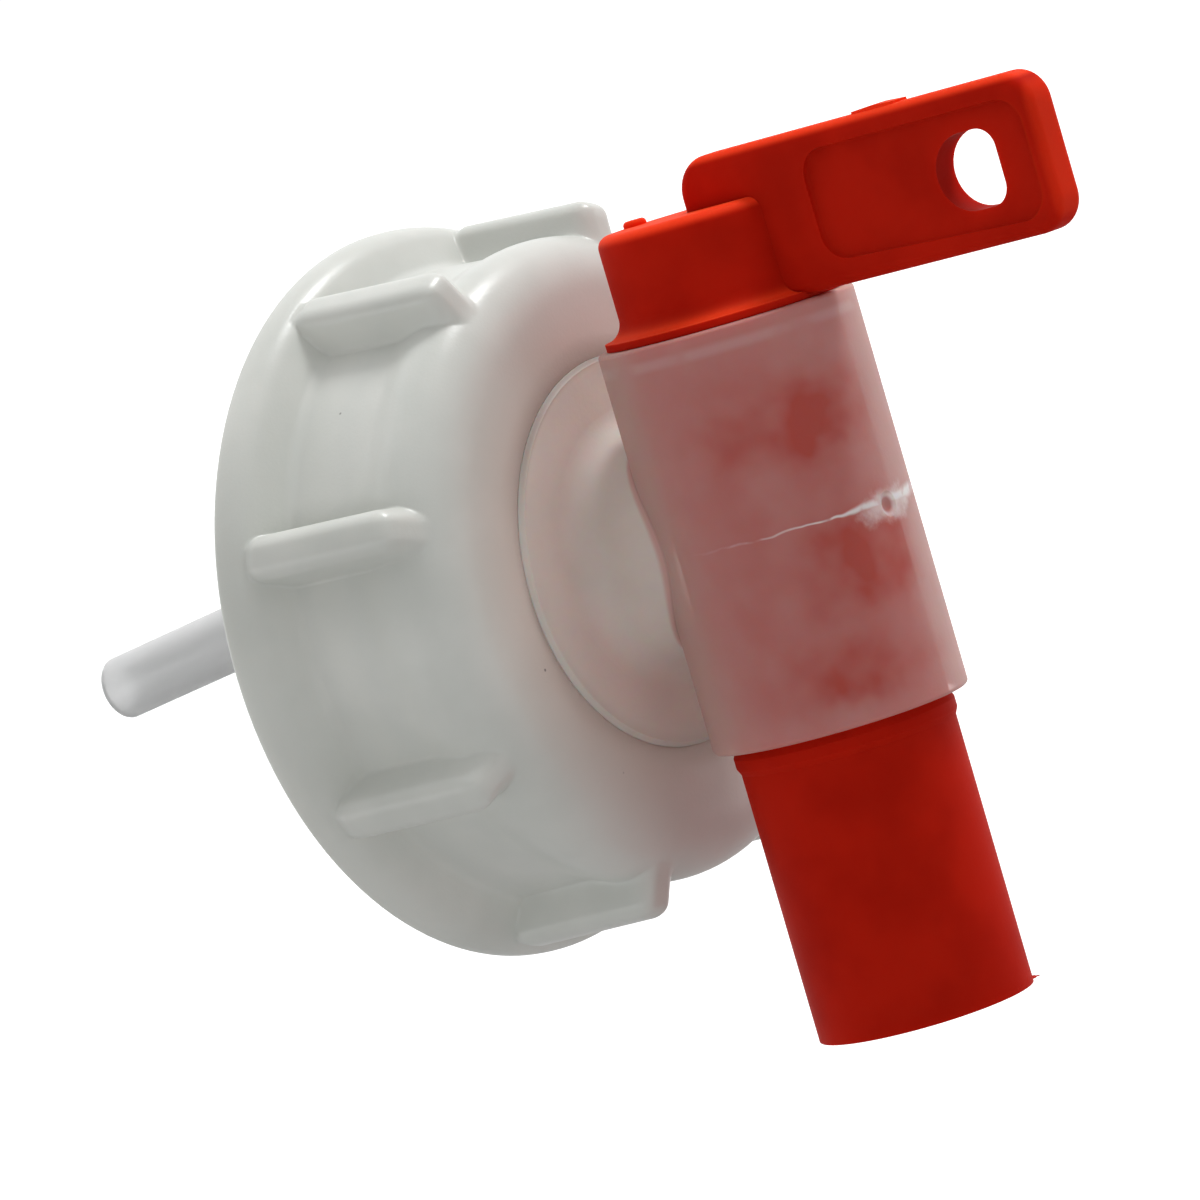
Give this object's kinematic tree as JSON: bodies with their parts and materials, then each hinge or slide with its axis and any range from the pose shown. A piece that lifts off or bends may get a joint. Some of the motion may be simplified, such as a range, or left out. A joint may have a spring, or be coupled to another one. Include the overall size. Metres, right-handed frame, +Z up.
{
  "type": "jerry can tap",
  "caption": "Screw-on jerry can tap: ribbed white cap nut, translucent body with an upright sleeve, red lever plug with a downward spout, and a vent tube into the can.",
  "frame": {"origin": "on the cap's axis, in the plane of the gasket's back face where the can's neck presses", "axes": "+Z up along the plug towards the lever, +Y along the cap's axis into the can, -Y towards the front, X across"},
  "size_m": [0.07, 0.1267, 0.0823],
  "materials": {
    "white_plastic": "satin polyethylene",
    "natural_plastic": "translucent natural polyethylene",
    "gasket": "matt soft sealing ring",
    "tube_plastic": "translucent natural polyethylene",
    "red_plastic": "satin polyethylene"
  },
  "bodies": {
    "tap": {"tap_body": "natural_plastic", "neck_gasket": "gasket", "vent_tube": "tube_plastic"},
    "cap": {"cap_nut": "white_plastic"},
    "plug": {"plug": "red_plastic"}
  },
  "joints": [
    {"name": "cap_turn", "type": "hinge", "parent": "tap", "child": "cap", "pos_m": [0, 0, 0], "axis": [0, 1, 0], "continuous": true},
    {"name": "plug_turn", "type": "hinge", "parent": "tap", "child": "plug", "pos_m": [0, -0.023, 0], "axis": [0, 0, 1], "range_deg": [-90, 90]}
  ]
}
